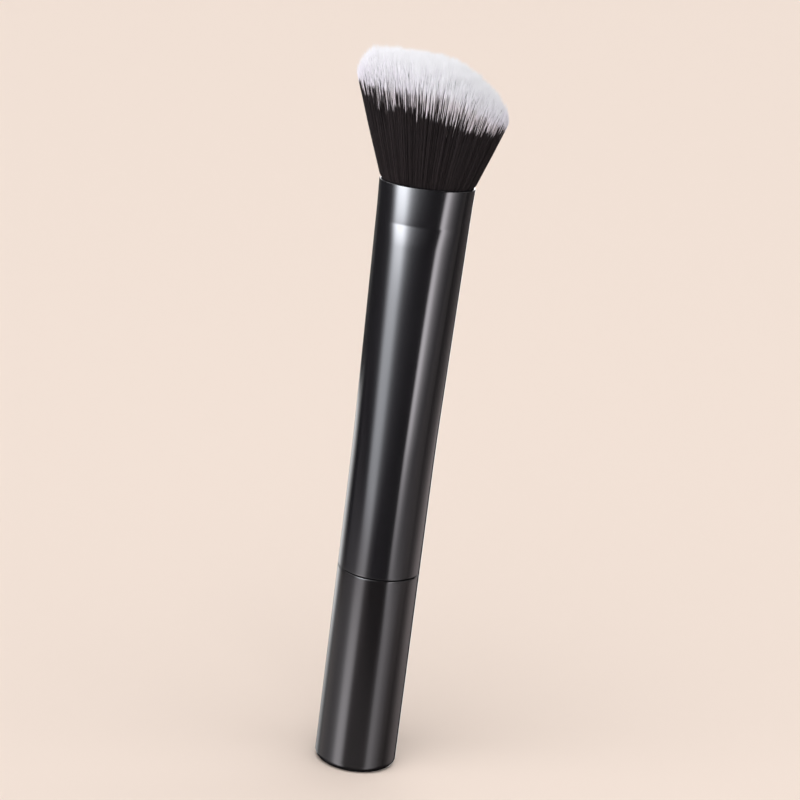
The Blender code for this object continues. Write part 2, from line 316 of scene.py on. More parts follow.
def skinned(name, rings, closed):
    """Object with quads between successive rings, joined end to end or capped."""
    sides = len(rings[0])
    verts = np.concatenate(rings)
    pairs = list(zip(range(len(rings) - 1), range(1, len(rings))))
    if closed:
        pairs.append((len(rings) - 1, 0))
    faces = []
    for low, high in pairs:
        below, above = low * sides, high * sides
        for side in range(sides):
            after = (side + 1) % sides
            faces.append((below + side, below + after, above + after, above + side))
    if not closed:
        faces.append(tuple(range(sides))[::-1])
        last = (len(rings) - 1) * sides
        faces.append(tuple(range(last, last + sides)))
    mesh = bpy.data.meshes.new(name)
    mesh.from_pydata(verts.tolist(), [], faces)
    mesh.shade_smooth()
    mesh.set_sharp_from_angle(angle=SHARP_ANGLE)
    piece = bpy.data.objects.new(name, mesh)
    bpy.context.scene.collection.objects.link(piece)
    return piece


def dress(piece, material, node):
    """Give a piece its material, body and slot, and hide the CAD node that it stands for."""
    piece.data.materials.clear()
    piece.data.materials.append(material)
    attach(piece, "root")
    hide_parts(node)


def new_material(name):
    """Empty node material with its Principled shader."""
    material = bpy.data.materials.new(name)
    material.use_nodes = True
    return material, material.node_tree.nodes, material.node_tree.links


def noise_value(nodes, links, scale, detail, stretch):
    """Noise over the object's own coordinates, stretched along its axes."""
    place = nodes.new("ShaderNodeTexCoord")
    mapping = nodes.new("ShaderNodeMapping")
    mapping.inputs["Scale"].default_value = stretch
    texture = nodes.new("ShaderNodeTexNoise")
    texture.inputs["Scale"].default_value = scale
    texture.inputs["Detail"].default_value = detail
    links.new(place.outputs["Object"], mapping.inputs["Vector"])
    links.new(mapping.outputs["Vector"], texture.inputs["Vector"])
    return texture.outputs["Fac"]


def ranged(nodes, links, value, low, high):
    """A value from 0 to 1 spread over a range."""
    spread = nodes.new("ShaderNodeMapRange")
    spread.inputs["To Min"].default_value = low
    spread.inputs["To Max"].default_value = high
    links.new(value, spread.inputs["Value"])
    return spread.outputs["Result"]


def tinted(nodes, links, value, low_color, high_color, low=0.3, high=0.7):
    """A colour that turns from one to another as a value rises from low to high."""
    ramp = nodes.new("ShaderNodeValToRGB")
    first, last = ramp.color_ramp.elements
    first.position, first.color = low, (*low_color, 1)
    last.position, last.color = high, (*high_color, 1)
    links.new(value, ramp.inputs["Fac"])
    return ramp.outputs["Color"]


def tint_pair(color, low, high):
    """The darkest and the palest tint of a colour."""
    return [channel * low for channel in color], [channel * high for channel in color]


def mixed(nodes, links, blend, first, second):
    """Two colours put together by a blend mode, in full."""
    mix = nodes.new("ShaderNodeMix")
    mix.data_type = "RGBA"
    mix.blend_type = blend
    mix.inputs[MIX_FACTOR].default_value = 1
    links.new(first, mix.inputs[MIX_FIRST])
    links.new(second, mix.inputs[MIX_SECOND])
    return mix.outputs[MIX_RESULT]


def bumped(nodes, links, value, distance, strength):
    """Normal of a surface raised by a value."""
    bump = nodes.new("ShaderNodeBump")
    bump.inputs["Distance"].default_value = distance
    bump.inputs["Strength"].default_value = strength
    links.new(value, bump.inputs["Height"])
    return bump.outputs["Normal"]


def surface(name, color, variation, roughness, scale, stretch, depth, strength, metallic=0.0):
    """Procedural finish: colour and roughness that drift a little, over a fine grain.

    scale and stretch size the grain, and depth and strength raise it. The drift is
    DRIFT_WIDTH times as wide as the grain.
    """
    material, nodes, links = new_material(name)
    shader = nodes["Principled BSDF"]
    shader.inputs["Metallic"].default_value = metallic
    drift = noise_value(nodes, links, scale / DRIFT_WIDTH, detail=3, stretch=stretch)
    tints = tint_pair(color, 1 - variation, 1 + variation)
    links.new(tinted(nodes, links, drift, *tints), shader.inputs["Base Color"])
    links.new(ranged(nodes, links, drift, *roughness), shader.inputs["Roughness"])
    fine = noise_value(nodes, links, scale, detail=2, stretch=stretch)
    links.new(bumped(nodes, links, fine, depth, strength), shader.inputs["Normal"])
    return material


class BRUSH_OT_ferrule_tube(bpy.types.Operator):
    """Build the lacquered tube with its pressed oval mouth"""

    bl_idname = "brush.ferrule_tube"
    bl_label = "Ferrule Tube"

    def execute(self, context):
        handle = context.scene.brush_handle
        rings = [tube_ring(height, inset, handle.sides) for height, inset in self.wall_path(handle)]
        tube = skinned("lacquered_tube", rings, closed=True)
        lacquer = surface(
            "black_lacquer", handle.lacquer_color, variation=0.12, roughness=(0.075, 0.105),
            scale=900, stretch=(1, 1, 0.35), depth=0.00002, strength=0.03)
        dress(tube, lacquer, "ferrule_tube")
        return {"FINISHED"}

    def wall_path(self, handle):
        """Height and inset along the wall: up the outside, over the lip and down the inside."""
        lip, edge = handle.lip, handle.edge
        edge_steps, lip_steps = 5, 6
        straight_rings, press_rings, ramp_rings, band_rings = 8, 60, 50, 30
        straight_start, ramp_length, lip_support = 0.002, 0.006, handle.support / 3
        foot = TUBE_FOOT - handle.seam_reach
        press = RIM - handle.press_length
        crease = RIM - handle.crease_depth
        straight, ramp = foot + straight_start, crease - ramp_length
        lip_foot = RIM - lip
        outer = [foot + edge + handle.support]
        outer += [*np.linspace(straight, press, straight_rings)]
        outer += [*np.linspace(press, ramp, press_rings)[1:]]
        outer += [*np.linspace(ramp, crease, ramp_rings)[1:]]
        outer += [*np.linspace(crease, lip_foot - lip_support, band_rings)[1:]]
        foot_arc = arc_points(edge, edge, edge, 270, 180, edge_steps)
        lip_arc = arc_points(lip, 0, lip, 180, 90, lip_steps)
        lip_arc += arc_points(handle.wall - lip, 0, lip, 90, 0, lip_steps)
        path = [(foot + z, inset) for inset, z in foot_arc]
        path += [(height, 0) for height in outer]
        path += [(lip_foot + z, inset) for inset, z in lip_arc]
        path += [(height, handle.wall) for height in outer[::-2]]
        path.append((foot, handle.wall))
        return path


class BRUSH_OT_base_shell(bpy.types.Operator):
    """Build the glossy moulded base with its rounded foot"""

    bl_idname = "brush.base_shell"
    bl_label = "Base Shell"

    def execute(self, context):
        handle = context.scene.brush_handle
        foot, edge = handle.foot_round, handle.base_edge
        foot_steps, side_rings, edge_steps = 16, 12, 8
        top = BASE_TOP + handle.seam_reach
        bore = TUBE_RADIUS - handle.base_wall
        side_low, side_high = FOOT_Z + foot + handle.support, top - edge - handle.support
        profile = arc_points(TUBE_RADIUS - foot, FOOT_Z + foot, foot, -90, 0, foot_steps)
        profile += [(TUBE_RADIUS, z) for z in np.linspace(side_low, side_high, side_rings)]
        profile += arc_points(TUBE_RADIUS - edge, top - edge, edge, 0, 90, edge_steps)
        profile += [(bore + edge, top), (bore, top - edge), (bore, FOOT_Z + handle.base_floor)]
        rings = [round_ring(r, z, handle.sides) for r, z in profile]
        base = skinned("moulded_base", rings, closed=False)
        gloss = surface(
            "gloss_moulding", handle.base_color, variation=0.10, roughness=(0.035, 0.055),
            scale=700, stretch=(1, 1, 0.4), depth=0.00002, strength=0.02)
        dress(base, gloss, "base_shell")
        return {"FINISHED"}


class BRUSH_OT_inner_pieces(bpy.types.Operator):
    """Finish the plug, core, cup, resin and weight inside the handle"""

    bl_idname = "brush.inner_pieces"
    bl_label = "Inner Pieces"

    def execute(self, context):
        black = surface(
            "black_moulding", color=(0.012, 0.012, 0.013), variation=0.2, roughness=(0.45, 0.60),
            scale=1500, stretch=EVEN, depth=0.00004, strength=0.2)
        natural = surface(
            "natural_moulding", color=(0.62, 0.60, 0.55), variation=0.05, roughness=(0.45, 0.60),
            scale=1200, stretch=EVEN, depth=0.00004, strength=0.2)
        steel = surface(
            "turned_steel", color=(0.55, 0.55, 0.56), variation=0.06, roughness=(0.25, 0.38),
            scale=3000, stretch=(0.1, 0.1, 1), depth=0.00003, strength=0.4, metallic=1.0)
        resin = surface(
            "cast_resin", color=(0.46, 0.34, 0.17), variation=0.15, roughness=(0.15, 0.30),
            scale=300, stretch=EVEN, depth=0.00010, strength=0.3)
        finishes = {
            "joint_plug": black, "tuft_cup": black, "handle_core": natural,
            "base_weight": steel, "resin_plug": resin}
        for name, finish in finishes.items():
            piece = frame["nodes"][name]
            piece.data.materials.clear()
            piece.data.materials.append(finish)
        return {"FINISHED"}


def crown_height(across, deep, tuft):
    """Height of the crown above the rim, over places given as shares of the tuft."""
    past = across - tuft.slant_start
    slant = tuft.slant_drop * (past + np.hypot(past, tuft.slant_blend)) / 2
    reach = np.hypot(across, deep)
    rounding = np.maximum(0, (reach - tuft.edge_start) / (1 - tuft.edge_start)) ** 2
    edge = tuft.edge_drop - tuft.edge_bias * across
    return HEAD_HEIGHT - slant - edge * rounding - tuft.crown_drop * deep ** 2


def wave_noise(first, second, rng, rates, second_rate):
    """Smooth uneven value, mostly from -1 to 1, from waves along two places of every filament."""
    total = np.zeros_like(first)
    for rate in rates:
        phase = rng.uniform(0, math.tau)
        total += np.sin(rate * first + rng.uniform(-1, 1) * second_rate * second + phase)
    return total / math.sqrt(len(rates) / 2)


def clump_noise(across, deep, rng):
    """Unevenness of clumps a few millimetres wide."""
    slowest, fastest, waves, deep_rate = 18, 42, 24, 30
    return wave_noise(across, deep, rng, rng.uniform(slowest, fastest, waves), deep_rate)


def needle_noise(turn, reach, rng):
    """Unevenness of needles half a millimetre wide, round the tuft on all its sides."""
    slowest, fastest, waves, reach_rate = 85, 235, 72, 26
    return wave_noise(turn, reach, rng, rng.integers(slowest, fastest, waves), reach_rate)


def rising(value, start, width):
    """Share from 0 at a start to 1 a width further on."""
    return np.clip((value - start) / width, 0, 1)


def filament_places(count, rng):
    """Reach from the tuft's middle, as a share, and turn round it of every filament."""
    crowding, turn_scatter, reach_scatter = 0.46, 0.02, 0.006
    index = np.arange(count)
    turn = index * GOLDEN_ANGLE + rng.normal(0, turn_scatter, count)
    reach = ((index + 0.5) / count) ** crowding + rng.normal(0, reach_scatter, count)
    return np.clip(reach, 0, 1), turn


def filament_lean(turn, reach, rng):
    """Sideways bend of every filament: a little that needles share and more of its own."""
    needle_lean, own_lean = 0.0021, 0.007
    return needle_lean * needle_noise(turn, reach, rng) + rng.normal(0, own_lean, len(turn))


def needle_jag(across, turn, reach, rng):
    """Unevenness of the black's edge, in needles that reach further up than down.

    Most filaments follow one unevenness and some a second. The rest follow a third, which
    only raises the black, so dark needles stand up in the white.
    """
    first_share, second_share, own_jag = 0.80, 0.91, 0.08
    skew = 0.30 + 0.13 * across
    dark_height = 2.0 + 0.9 * across
    first, second, third = (needle_noise(turn, reach, rng) for _ in range(3))
    first += skew * (first ** 2 - 1)
    second += skew * (second ** 2 - 1)
    third = dark_height * np.abs(third)
    group = rng.random(len(turn))
    jag = np.where(group < first_share, first, np.where(group < second_share, second, third))
    return jag + own_jag * rng.normal(0, 1, len(turn))


def dye_strays(across, rng):
    """How far single white filaments reach down, less how far single black ones reach up.

    There are more of the black ones towards the low side.
    """
    white_odds, white_length = 0.040, 0.0014
    black_odds, black_start, black_length = 0.060, -0.35, 0.0018
    count = len(across)
    down = rng.random(count) < white_odds
    down = down * rng.exponential(white_length, count)
    up = rng.random(count) < black_odds * (across - black_start)
    up = up * rng.exponential(black_length, count)
    return down - up


def dye_line(tuft, reach, turn, shoulder_x, length, rng):
    """Height above the rim at which each filament turns from black to white.

    across is -1 at the high side of the head and 1 at the low side. Filaments further in
    turn white lower down, and each keeps a white tip.
    """
    low_corner, low_start, low_width = 0.0008, 0.78, 0.22
    high_corner, high_start, high_width = 0.0014, 0.82, 0.18
    swell, swell_middle, swell_width = 0.0008, -0.26, 0.50
    calm, inner_fall, tip_cut = 0.27, 0.005, 0.4
    across = reach * np.cos(turn)
    jag = needle_jag(across, turn, reach, rng)
    strays = dye_strays(across, rng)
    corner = low_corner * rising(across, low_start, low_width)
    corner += high_corner * rising(-across, high_start, high_width)
    crest = swell * np.clip(1 - ((across - swell_middle) / swell_width) ** 2, 0, 1)
    line = tuft.dye_height - tuft.dye_slope * shoulder_x + corner + crest
    line = line + tuft.dye_jag * (1 - calm * across) * jag - strays - inner_fall * (1 - reach)
    return np.minimum(line, length - tuft.white_tip * (1 - tip_cut * np.maximum(across, 0)))


def filament_paths(tuft, wall):
    """Points, radii, distances from the black's edge and tint of every filament, root to tip."""
    root_heights, upper_shares = (-0.0030, 0.0, 0.0008), (0.50, 0.86, 1.0)
    tip_room, clump_rise, own_rise = 0.0003, 0.00018, 0.00022
    bulge_rise, taper_power = 0.0008, 0.7
    rng = np.random.default_rng(SEED)
    reach, turn = filament_places(tuft.filaments, rng)
    across, deep = reach * np.cos(turn), reach * np.sin(turn)
    half_width, half_depth, flat = tube_section(RIM)
    inner_x = half_width - wall - tuft.diameter / 2
    inner_y = (half_depth - wall - tuft.diameter / 2) * (1 - flat * np.sin(turn) ** 2)
    clump = clump_noise(across, deep, rng)
    fine = rng.normal(0, 1, tuft.filaments)
    length = crown_height(across, deep, tuft) - tip_room + clump_rise * clump + own_rise * fine
    lean_x, lean_y = (filament_lean(turn, reach, rng) for _ in range(2))
    levels = [np.full(tuft.filaments, height) for height in root_heights]
    levels += [length * share for share in upper_shares]
    points, radii, rises = [], [], []
    for rise in levels:
        above = np.maximum(rise, 0)
        bulge = tuft.overhang * (1 - np.exp(-above / bulge_rise)) * reach ** 3
        x = across * (inner_x + tuft.side_splay * above) + bulge * np.cos(turn)
        y = np.sin(turn) * reach * (inner_y + tuft.face_splay * above) + bulge * np.sin(turn)
        bend = above ** 3 / length ** 2
        points.append(np.column_stack([x + lean_x * bend, y + lean_y * bend, RIM + rise]))
        taper = np.clip((length - above) / tuft.taper_length, 0, 1) ** taper_power
        radii.append((tuft.tip_diameter + (tuft.diameter - tuft.tip_diameter) * taper) / 2)
        rises.append(above)
    points, radii, rises = np.stack(points, 1), np.stack(radii, 1), np.stack(rises, 1)
    line = dye_line(tuft, reach, turn, points[:, -2, 0], length, rng)
    return points, radii, rises - line[:, None], rng.random(tuft.filaments)


def map_place(distance):
    """Place up the strand map of a distance above the black's edge."""
    return MAP_MIDDLE + distance / MAP_LENGTH


def strand_faces(rings):
    """Triangles of one strand: bands between its rings, a pointed tip and a closed root."""
    faces = []
    for ring in range(rings - 1):
        for side in range(STRAND_SIDES):
            a = ring * STRAND_SIDES + side
            b = ring * STRAND_SIDES + (side + 1) % STRAND_SIDES
            faces += [(a, b, b + STRAND_SIDES), (a, b + STRAND_SIDES, a + STRAND_SIDES)]
    top, tip = (rings - 1) * STRAND_SIDES, rings * STRAND_SIDES
    faces += [(top + side, top + (side + 1) % STRAND_SIDES, tip) for side in range(STRAND_SIDES)]
    faces.append(tuple(range(STRAND_SIDES))[::-1])
    return np.array(faces)


def strand_mesh(name, points, radii, dye, tint):
    """Object that holds three-sided filaments with pointed tips, and their strand map."""
    count, levels, _ = points.shape
    along = np.gradient(points, axis=1)
    along /= np.linalg.norm(along, axis=2, keepdims=True)
    side = np.cross(along, np.array([0.0, 1.0, 0.0]))
    side /= np.linalg.norm(side, axis=2, keepdims=True)
    other = np.cross(along, side)
    corners = []
    for corner in range(STRAND_SIDES):
        angle = math.tau * corner / STRAND_SIDES + math.tau * tint
        out = side * np.cos(angle)[:, None, None] + other * np.sin(angle)[:, None, None]
        corners.append(points + out * radii[:, :, None])
    rings = levels - 1
    body = np.stack(corners, 2)[:, :-1].reshape(count, rings * STRAND_SIDES, 3)
    verts = np.concatenate([body, points[:, -1:]], 1)
    per_strand = rings * STRAND_SIDES + 1
    starts = np.arange(count) * per_strand
    faces = (strand_faces(rings)[None] + starts[:, None, None]).reshape(-1, 3)
    mesh = bpy.data.meshes.new(name)
    mesh.vertices.add(count * per_strand)
    mesh.vertices.foreach_set("co", verts.astype(np.float32).ravel())
    mesh.loops.add(faces.size)
    mesh.loops.foreach_set("vertex_index", faces.astype(np.int32).ravel())
    mesh.polygons.add(len(faces))
    mesh.polygons.foreach_set("loop_start", np.arange(len(faces), dtype=np.int32) * faces.shape[1])
    mesh.update(calc_edges=True)
    mesh.validate()
    mesh.shade_smooth()
    height = np.concatenate([np.repeat(dye[:, :-1], STRAND_SIDES, axis=1), dye[:, -1:]], 1)
    map_x = np.repeat(tint, per_strand)
    map_y = np.clip(map_place(height.ravel()), MAP_EDGE, 1 - MAP_EDGE)
    places = np.column_stack([map_x, map_y])[faces.ravel()]
    layer = mesh.uv_layers.new(name=STRAND_MAP)
    layer.uv.foreach_set("vector", places.astype(np.float32).ravel())
    piece = bpy.data.objects.new(name, mesh)
    bpy.context.scene.collection.objects.link(piece)
    return piece


def filament_material(tuft):
    """Dyed filament with a pale tip.

    The colour follows the strand map: each strand's tint, and its distance from the black's
    edge. Just above the black, the white carries painted shade that is a little darker and
    lavender, and it clears towards the tip.
    """
    # The third colour is painted shade. It darkens the white just above the black and tints it
    # lavender.
    zero, one, shade_tint = (0, 0, 0), (1, 1, 1), (0.93, 0.89, 0.95)
    fade_start, fade_end = -0.00024, 0.0004
    shade_start, shade_end = 0.0006, 0.0054
    material, nodes, links = new_material("tuft_filament")
    shader = nodes["Principled BSDF"]
    shader.inputs["Roughness"].default_value = 0.45
    place = nodes.new("ShaderNodeUVMap")
    place.uv_map = STRAND_MAP
    split = nodes.new("ShaderNodeSeparateXYZ")
    links.new(place.outputs["UV"], split.inputs["Vector"])
    tint, up = split.outputs["X"], split.outputs["Y"]
    dark = tinted(nodes, links, tint, *tint_pair(tuft.black, low=0.84, high=1.2))
    pale = tinted(nodes, links, tint, *tint_pair(tuft.white, low=0.95, high=1.03))
    # Painted shade over the white near the black's edge, fading out towards the tip.
    painted_shade = tinted(nodes, links, up, shade_tint, one, map_place(shade_start), map_place(shade_end))
    fade = tinted(nodes, links, up, zero, one, map_place(fade_start), map_place(fade_end))
    shaded_pale = mixed(nodes, links, "MULTIPLY", painted_shade, pale)
    mix = mixed(nodes, links, "MIX", dark, shaded_pale)
    links.new(fade, mix.node.inputs[MIX_FACTOR])
    links.new(mix, shader.inputs["Base Color"])
    return material


class BRUSH_OT_filaments(bpy.types.Operator):
    """Build the tuft's filaments, black with white tips"""

    bl_idname = "brush.filaments"
    bl_label = "Filaments"

    def execute(self, context):
        tuft = context.scene.brush_tuft
        points, radii, dye, tint = filament_paths(tuft, context.scene.brush_handle.wall)
        material = filament_material(tuft)
        for bundle in range(tuft.bundles):
            mine = slice(bundle, None, tuft.bundles)
            name = f"filaments_{bundle + 1}"
            piece = strand_mesh(name, points[mine], radii[mine], dye[mine], tint[mine])
            dress(piece, material, "bristle_tuft")
        return {"FINISHED"}


class BRUSH_OT_tuft_root(bpy.types.Operator):
    """Build the glued root of the tuft inside the mouth"""

    bl_idname = "brush.tuft_root"
    bl_label = "Tuft Root"

    def execute(self, context):
        gap, sink, sides, levels = 0.0003, 0.0026, 96, 12
        inset = context.scene.brush_handle.wall + gap
        heights = np.linspace(TUFT_FOOT, RIM - sink, levels)
        rings = [tube_ring(height, inset, sides) for height in heights]
        root = skinned("tuft_root", rings, closed=False)
        glued = surface(
            "glued_root", color=(0.010, 0.009, 0.009), variation=0.3, roughness=(0.35, 0.55),
            scale=2600, stretch=(1, 1, 0.05), depth=0.00012, strength=0.6)
        dress(root, glued, "bristle_tuft")
        return {"FINISHED"}


def stage_material(name, color, roughness):
    """Plain matt material of the stage."""
    material, nodes, _ = new_material(name)
    shader = nodes["Principled BSDF"]
    shader.inputs["Base Color"].default_value = (*color, 1)
    shader.inputs["Roughness"].default_value = roughness
    shader.inputs["Specular IOR Level"].default_value = 0.1
    return material


def ramped(nodes, links, value, stops):
    """Level that follows a value smoothly through a list of places and levels."""
    ramp = nodes.new("ShaderNodeValToRGB")
    ramp.color_ramp.interpolation = "B_SPLINE"
    elements = ramp.color_ramp.elements
    while len(elements) < len(stops):
        elements.new(1)
    for element, (place, level) in zip(elements, stops):
        element.position = place
        element.color = (level, level, level, 1)
    links.new(value, ramp.inputs["Fac"])
    return ramp.outputs["Color"]


def sheared(nodes, links, value, other, share):
    """A value moved by a share of how far another is past its middle."""
    past = nodes.new("ShaderNodeMath")
    past.operation = "SUBTRACT"
    past.inputs[1].default_value = FACE_MIDDLE
    links.new(other, past.inputs[0])
    moved = nodes.new("ShaderNodeMath")
    moved.operation = "MULTIPLY_ADD"
    moved.inputs[1].default_value = share
    links.new(past.outputs[0], moved.inputs[0])
    links.new(value, moved.inputs[2])
    return moved.outputs[0]


def soft_light(name, peak, color, turns, heights, lean=0, away="away_from_boxes"):
    """Upright softbox facing the brush, with a radiance that fades across and up its face.

    turns lists azimuths in degrees, from the camera's side to the right, and their levels.
    heights lists heights in metres and their levels. A level of 1 is the peak radiance.
    lean is how far the bright band leans to the right at its top, in degrees. Pieces in the
    collection named by away take no light from it.
    """
    first, last = turns[0][0], turns[-1][0]
    middle = math.radians(first + last) / 2
    half = LIGHT_DISTANCE * math.tan(math.radians(last - first) / 2)
    low, high = heights[0][0], heights[-1][0]
    lamp = bpy.data.lights.new(name, "AREA")
    lamp.shape = "RECTANGLE"
    lamp.size, lamp.size_y = 2 * half, high - low
    lamp.energy = peak * lamp.size * lamp.size_y * math.pi
    lamp.color = color
    lamp.use_nodes = True
    nodes, links = lamp.node_tree.nodes, lamp.node_tree.links
    place = nodes.new("ShaderNodeNewGeometry")
    split = nodes.new("ShaderNodeSeparateXYZ")
    links.new(place.outputs["Parametric"], split.inputs["Vector"])
    x, y = split.outputs["X"], split.outputs["Y"]
    across = []
    for turn, level in turns:
        offset = LIGHT_DISTANCE * math.tan(math.radians(turn) - middle)
        across.append((offset / half / 2 + FACE_MIDDLE, level))
    up = [((height - low) / (high - low), level) for height, level in heights]
    stretch = lamp.size_y / lamp.size
    leaned = sheared(nodes, links, x, y, -math.tan(math.radians(lean)) * stretch)
    product = nodes.new("ShaderNodeMath")
    product.operation = "MULTIPLY"
    links.new(ramped(nodes, links, leaned, across), product.inputs[0])
    links.new(ramped(nodes, links, y, up), product.inputs[1])
    links.new(product.outputs[0], nodes["Emission"].inputs["Strength"])
    light = bpy.data.objects.new(name, lamp)
    bpy.context.scene.collection.objects.link(light)
    light.location = (
        LIGHT_DISTANCE * math.sin(middle), -LIGHT_DISTANCE * math.cos(middle), (low + high) / 2)
    light.rotation_euler = (math.pi / 2, 0, middle)
    light.visible_camera = False
    light.light_linking.receiver_collection = bpy.data.collections[away]


def far_light(name, azimuth, elevation, strength, spread):
    """Broad even light from far away.

    azimuth is to the right of the camera. It, elevation and spread are in degrees.
    """
    lamp = bpy.data.lights.new(name, "SUN")
    lamp.energy = strength
    lamp.angle = math.radians(spread)
    light = bpy.data.objects.new(name, lamp)
    bpy.context.scene.collection.objects.link(light)
    light.rotation_euler = (math.radians(90 - elevation), 0, math.radians(azimuth))
    light.visible_glossy = False


class BRUSH_OT_stage(bpy.types.Operator):
    """Make the pale floor, the soft lights and the camera"""

    bl_idname = "brush.stage"
    bl_label = "Stage"

    def execute(self, context):
        stage = context.scene.brush_stage
        ground = [self.make_floor(stage), self.make_backdrop(stage)]
        tuft = [piece for piece in context.scene.objects if piece.name.startswith("filaments")]
        self.keep_away("away_from_boxes", ground + tuft)
        self.keep_away("away_from_glow", ground)
        self.make_lights()
        self.make_world(stage)
        self.make_camera(stage)
        context.scene.view_settings.view_transform = "Standard"
        return {"FINISHED"}

    def make_floor(self, stage):
        """Wide matt floor under the foot."""
        bpy.ops.mesh.primitive_circle_add(
            vertices=96, radius=STAGE_RADIUS, fill_type="NGON", location=(0, 0, FOOT_Z))
        floor = bpy.context.object
        floor.name = "floor"
        floor.data.materials.append(stage_material("pale_floor", stage.floor_color, roughness=0.9))
        floor.visible_glossy = False
        return floor

    def make_backdrop(self, stage):
        """Sphere round the stage that only the camera sees, in the floor's colour."""
        bpy.ops.mesh.primitive_uv_sphere_add(
            segments=48, ring_count=24, radius=STAGE_RADIUS, location=(0, 0, FOOT_Z))
        backdrop = bpy.context.object
        backdrop.name = "backdrop"
        material, nodes, links = new_material("pale_backdrop")
        glow = nodes.new("ShaderNodeEmission")
        glow.inputs["Color"].default_value = (*stage.floor_color, 1)
        glow.inputs["Strength"].default_value = stage.backdrop_level
        links.new(glow.outputs["Emission"], nodes["Material Output"].inputs["Surface"])
        backdrop.data.materials.append(material)
        backdrop.visible_glossy = backdrop.visible_diffuse = backdrop.visible_shadow = False
        backdrop.visible_transmission = False
        return backdrop

    def keep_away(self, name, pieces):
        """Collection of pieces that lights linked to it don't reach."""
        away = bpy.data.collections.new(name)
        for piece in pieces:
            away.objects.link(piece)
        for entry in away.collection_objects:
            entry.light_linking.link_state = "EXCLUDE"

    def make_lights(self):
        """Softboxes for the handle's highlights and edges, glows for the tuft and even light."""
        soft_light(
            "left_box", peak=34, color=(0.91, 0.935, 1.0),
            turns=[(-90, 0.0), (-75, 0.02), (-67, 0.12), (-61, 0.50), (-56, 0.92), (-50, 1.05),
                   (-39, 0.95), (-33, 0.55), (-28, 0.28), (-22, 0.13), (-14, 0.05), (-4, 0.018),
                   (6, 0.004), (15, 0.0)],
            heights=[(-0.30, 0.0), (-0.178, 0.0), (-0.165, 0.015), (-0.15, 0.06), (-0.13, 0.15),
                     (-0.05, 0.22), (-0.0226, 0.27), (-0.0085, 0.30), (0.015, 0.52), (0.047, 0.74),
                     (0.118, 1.07), (0.16, 1.0)],
            lean=18)
        soft_light(
            "low_left_box", peak=4.4, color=(1.0, 0.955, 1.0),
            turns=[(-105, 0.03), (-92, 0.09), (-78, 0.18), (-68, 0.36), (-60, 0.80), (-54, 1.0),
                   (-47, 1.0), (-41, 0.85), (-36, 0.5), (-31, 0.12), (-26, 0.04), (-18, 0.0)],
            heights=[(-0.90, 0.2), (-0.55, 0.8), (-0.36, 1.15), (-0.25, 1.05), (-0.21, 0.9),
                     (-0.185, 0.75), (-0.172, 0.62), (-0.16, 0.45), (-0.148, 0.30), (-0.13, 0.08),
                     (-0.115, 0.0)])
        soft_light(
            "low_front", peak=0.3, color=(1.0, 0.9, 0.9),
            turns=[(-75, 0.0), (-55, 0.8), (-30, 1.0), (0, 1.0), (22, 1.7), (30, 2.1), (38, 1.2),
                   (60, 1.1), (74, 2.8), (88, 2.8), (100, 0.0)],
            heights=[(-0.90, 0.4), (-0.55, 1.0), (-0.38, 1.1), (-0.26, 1.0), (-0.23, 0.7),
                     (-0.21, 0.2), (-0.195, 0.0)])
        soft_light(
            "right_box", peak=9.5, color=(1.0, 0.95, 1.0),
            turns=[(19, 0.0), (28.5, 0.0), (30.5, 0.4), (33.5, 1.0), (36.5, 1.12), (40.5, 0.80),
                   (45.5, 0.43), (52, 0.22), (60, 0.10), (70, 0.04), (84, 0.0)],
            heights=[(-0.30, 0.0), (-0.21, 0.0), (-0.19, 0.08), (-0.173, 0.21), (-0.155, 0.28),
                     (-0.13, 0.40), (-0.097, 0.72), (-0.05, 1.05), (0.0, 1.1), (0.05, 1.15),
                     (0.12, 1.0)],
            lean=20)
        soft_light(
            "low_right", peak=2.2, color=(1.0, 0.95, 1.0),
            turns=[(20, 0.0), (27, 0.12), (31, 0.36), (35, 0.85), (42, 1.05), (48, 0.85), (54, 0.6),
                   (60, 0.42), (66, 0.25), (73, 0.05), (80, 0.0)],
            heights=[(-0.90, 0.4), (-0.55, 1.0), (-0.34, 1.0), (-0.20, 1.0), (-0.187, 0.95),
                     (-0.172, 0.6), (-0.155, 0.3), (-0.125, 0.1), (-0.105, 0.0)])
        soft_light(
            "back_left", peak=1.7, color=(1.0, 1.0, 1.0),
            turns=[(-168, 0.5), (-155, 1.0), (-147, 1.05), (-138, 1.0), (-129, 0.4), (-120, 0.0)],
            heights=[(-0.35, 0.42), (-0.25, 0.5), (-0.21, 0.65), (-0.185, 1.0), (-0.115, 1.2),
                     (-0.095, 0.9), (-0.085, 0.0), (-0.075, 0.0)])
        soft_light(
            "left_edge", peak=0.6, color=(1.0, 0.99, 0.95),
            turns=[(-160, 0.8), (-145, 1.0), (-136, 0.9), (-128, 0.2), (-120, 0.0)],
            heights=[(-0.13, 0.0), (-0.11, 0.06), (-0.088, 0.08), (-0.061, 0.14), (-0.023, 0.5),
                     (-0.005, 0.3), (0.015, 0.1), (0.03, 0.0)])
        soft_light(
            "low_left", peak=0.85, color=(1.0, 0.91, 0.90),
            turns=[(-128, 0.0), (-118, 0.9), (-108, 0.8), (-98, 0.35), (-88, 0.1), (-76, 0.0)],
            heights=[(-0.35, 0.9), (-0.20, 1.0), (-0.17, 0.2), (-0.15, 0.0)])
        soft_light(
            "back_right", peak=0.95, color=(1.0, 0.87, 0.87),
            turns=[(60, 0.0), (70, 0.12), (80, 0.22), (92, 0.33), (102, 0.5), (113, 0.85),
                   (126, 1.05), (150, 0.7)],
            heights=[(-0.35, 0.5), (-0.25, 0.62), (-0.19, 1.05), (-0.15, 1.0), (-0.12, 0.6),
                     (-0.05, 0.28), (0.1, 0.18)])
        soft_light(
            "back_strip", peak=5, color=(1.0, 1.0, 1.0),
            turns=[(166, 0.0), (170, 1.0), (176, 0.8), (180, 0.0)],
            heights=[(-0.35, 0.3), (-0.1, 0.6), (0.12, 1.0), (0.40, 1.0)])
